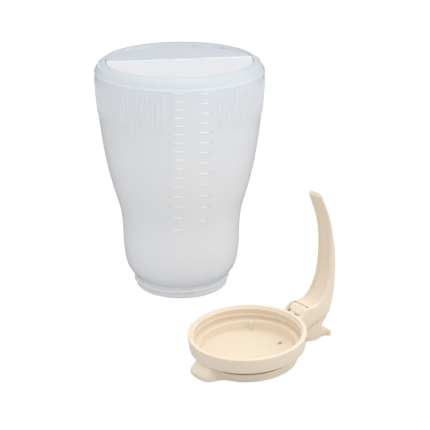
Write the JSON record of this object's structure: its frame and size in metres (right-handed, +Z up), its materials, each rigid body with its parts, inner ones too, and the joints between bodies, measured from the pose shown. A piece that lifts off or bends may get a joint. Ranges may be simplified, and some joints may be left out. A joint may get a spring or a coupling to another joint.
{
  "type": "syrup dispenser",
  "caption": "Translucent waisted jar standing upside down on its threaded mouth, beside its almond screw lid with a spout, a curved free-ended handle and a sprung thumb slide.",
  "frame": {"origin": "centre of the whole set's footprint, on the surface that it stands on", "axes": "+Z up; the jar stands behind (+Y) and the lid lies in front (-Y); the lid's handle points to +X and +Y"},
  "size_m": [0.1956, 0.27, 0.2],
  "materials": {
    "jar_plastic": "frosted translucent natural polyethylene",
    "lid_plastic": "satin almond polypropylene",
    "slide_plastic": "satin almond polypropylene",
    "spring_steel": "bright stainless spring wire"
  },
  "bodies": {
    "jar_and_lid": {"jar": "jar_plastic", "lid": "lid_plastic", "spring_retainer": "lid_plastic", "spring": "spring_steel"},
    "slide": {"slide": "slide_plastic"}
  },
  "joints": [
    {"name": "gate_slide", "type": "slide", "parent": "jar_and_lid", "child": "slide", "axis": [0.7923, 0.6079, 0.0523], "range_m": [0, 0.008], "stiffness_N_per_m": 400, "springref_m": -0.004, "deforming": ["spring"]}
  ]
}
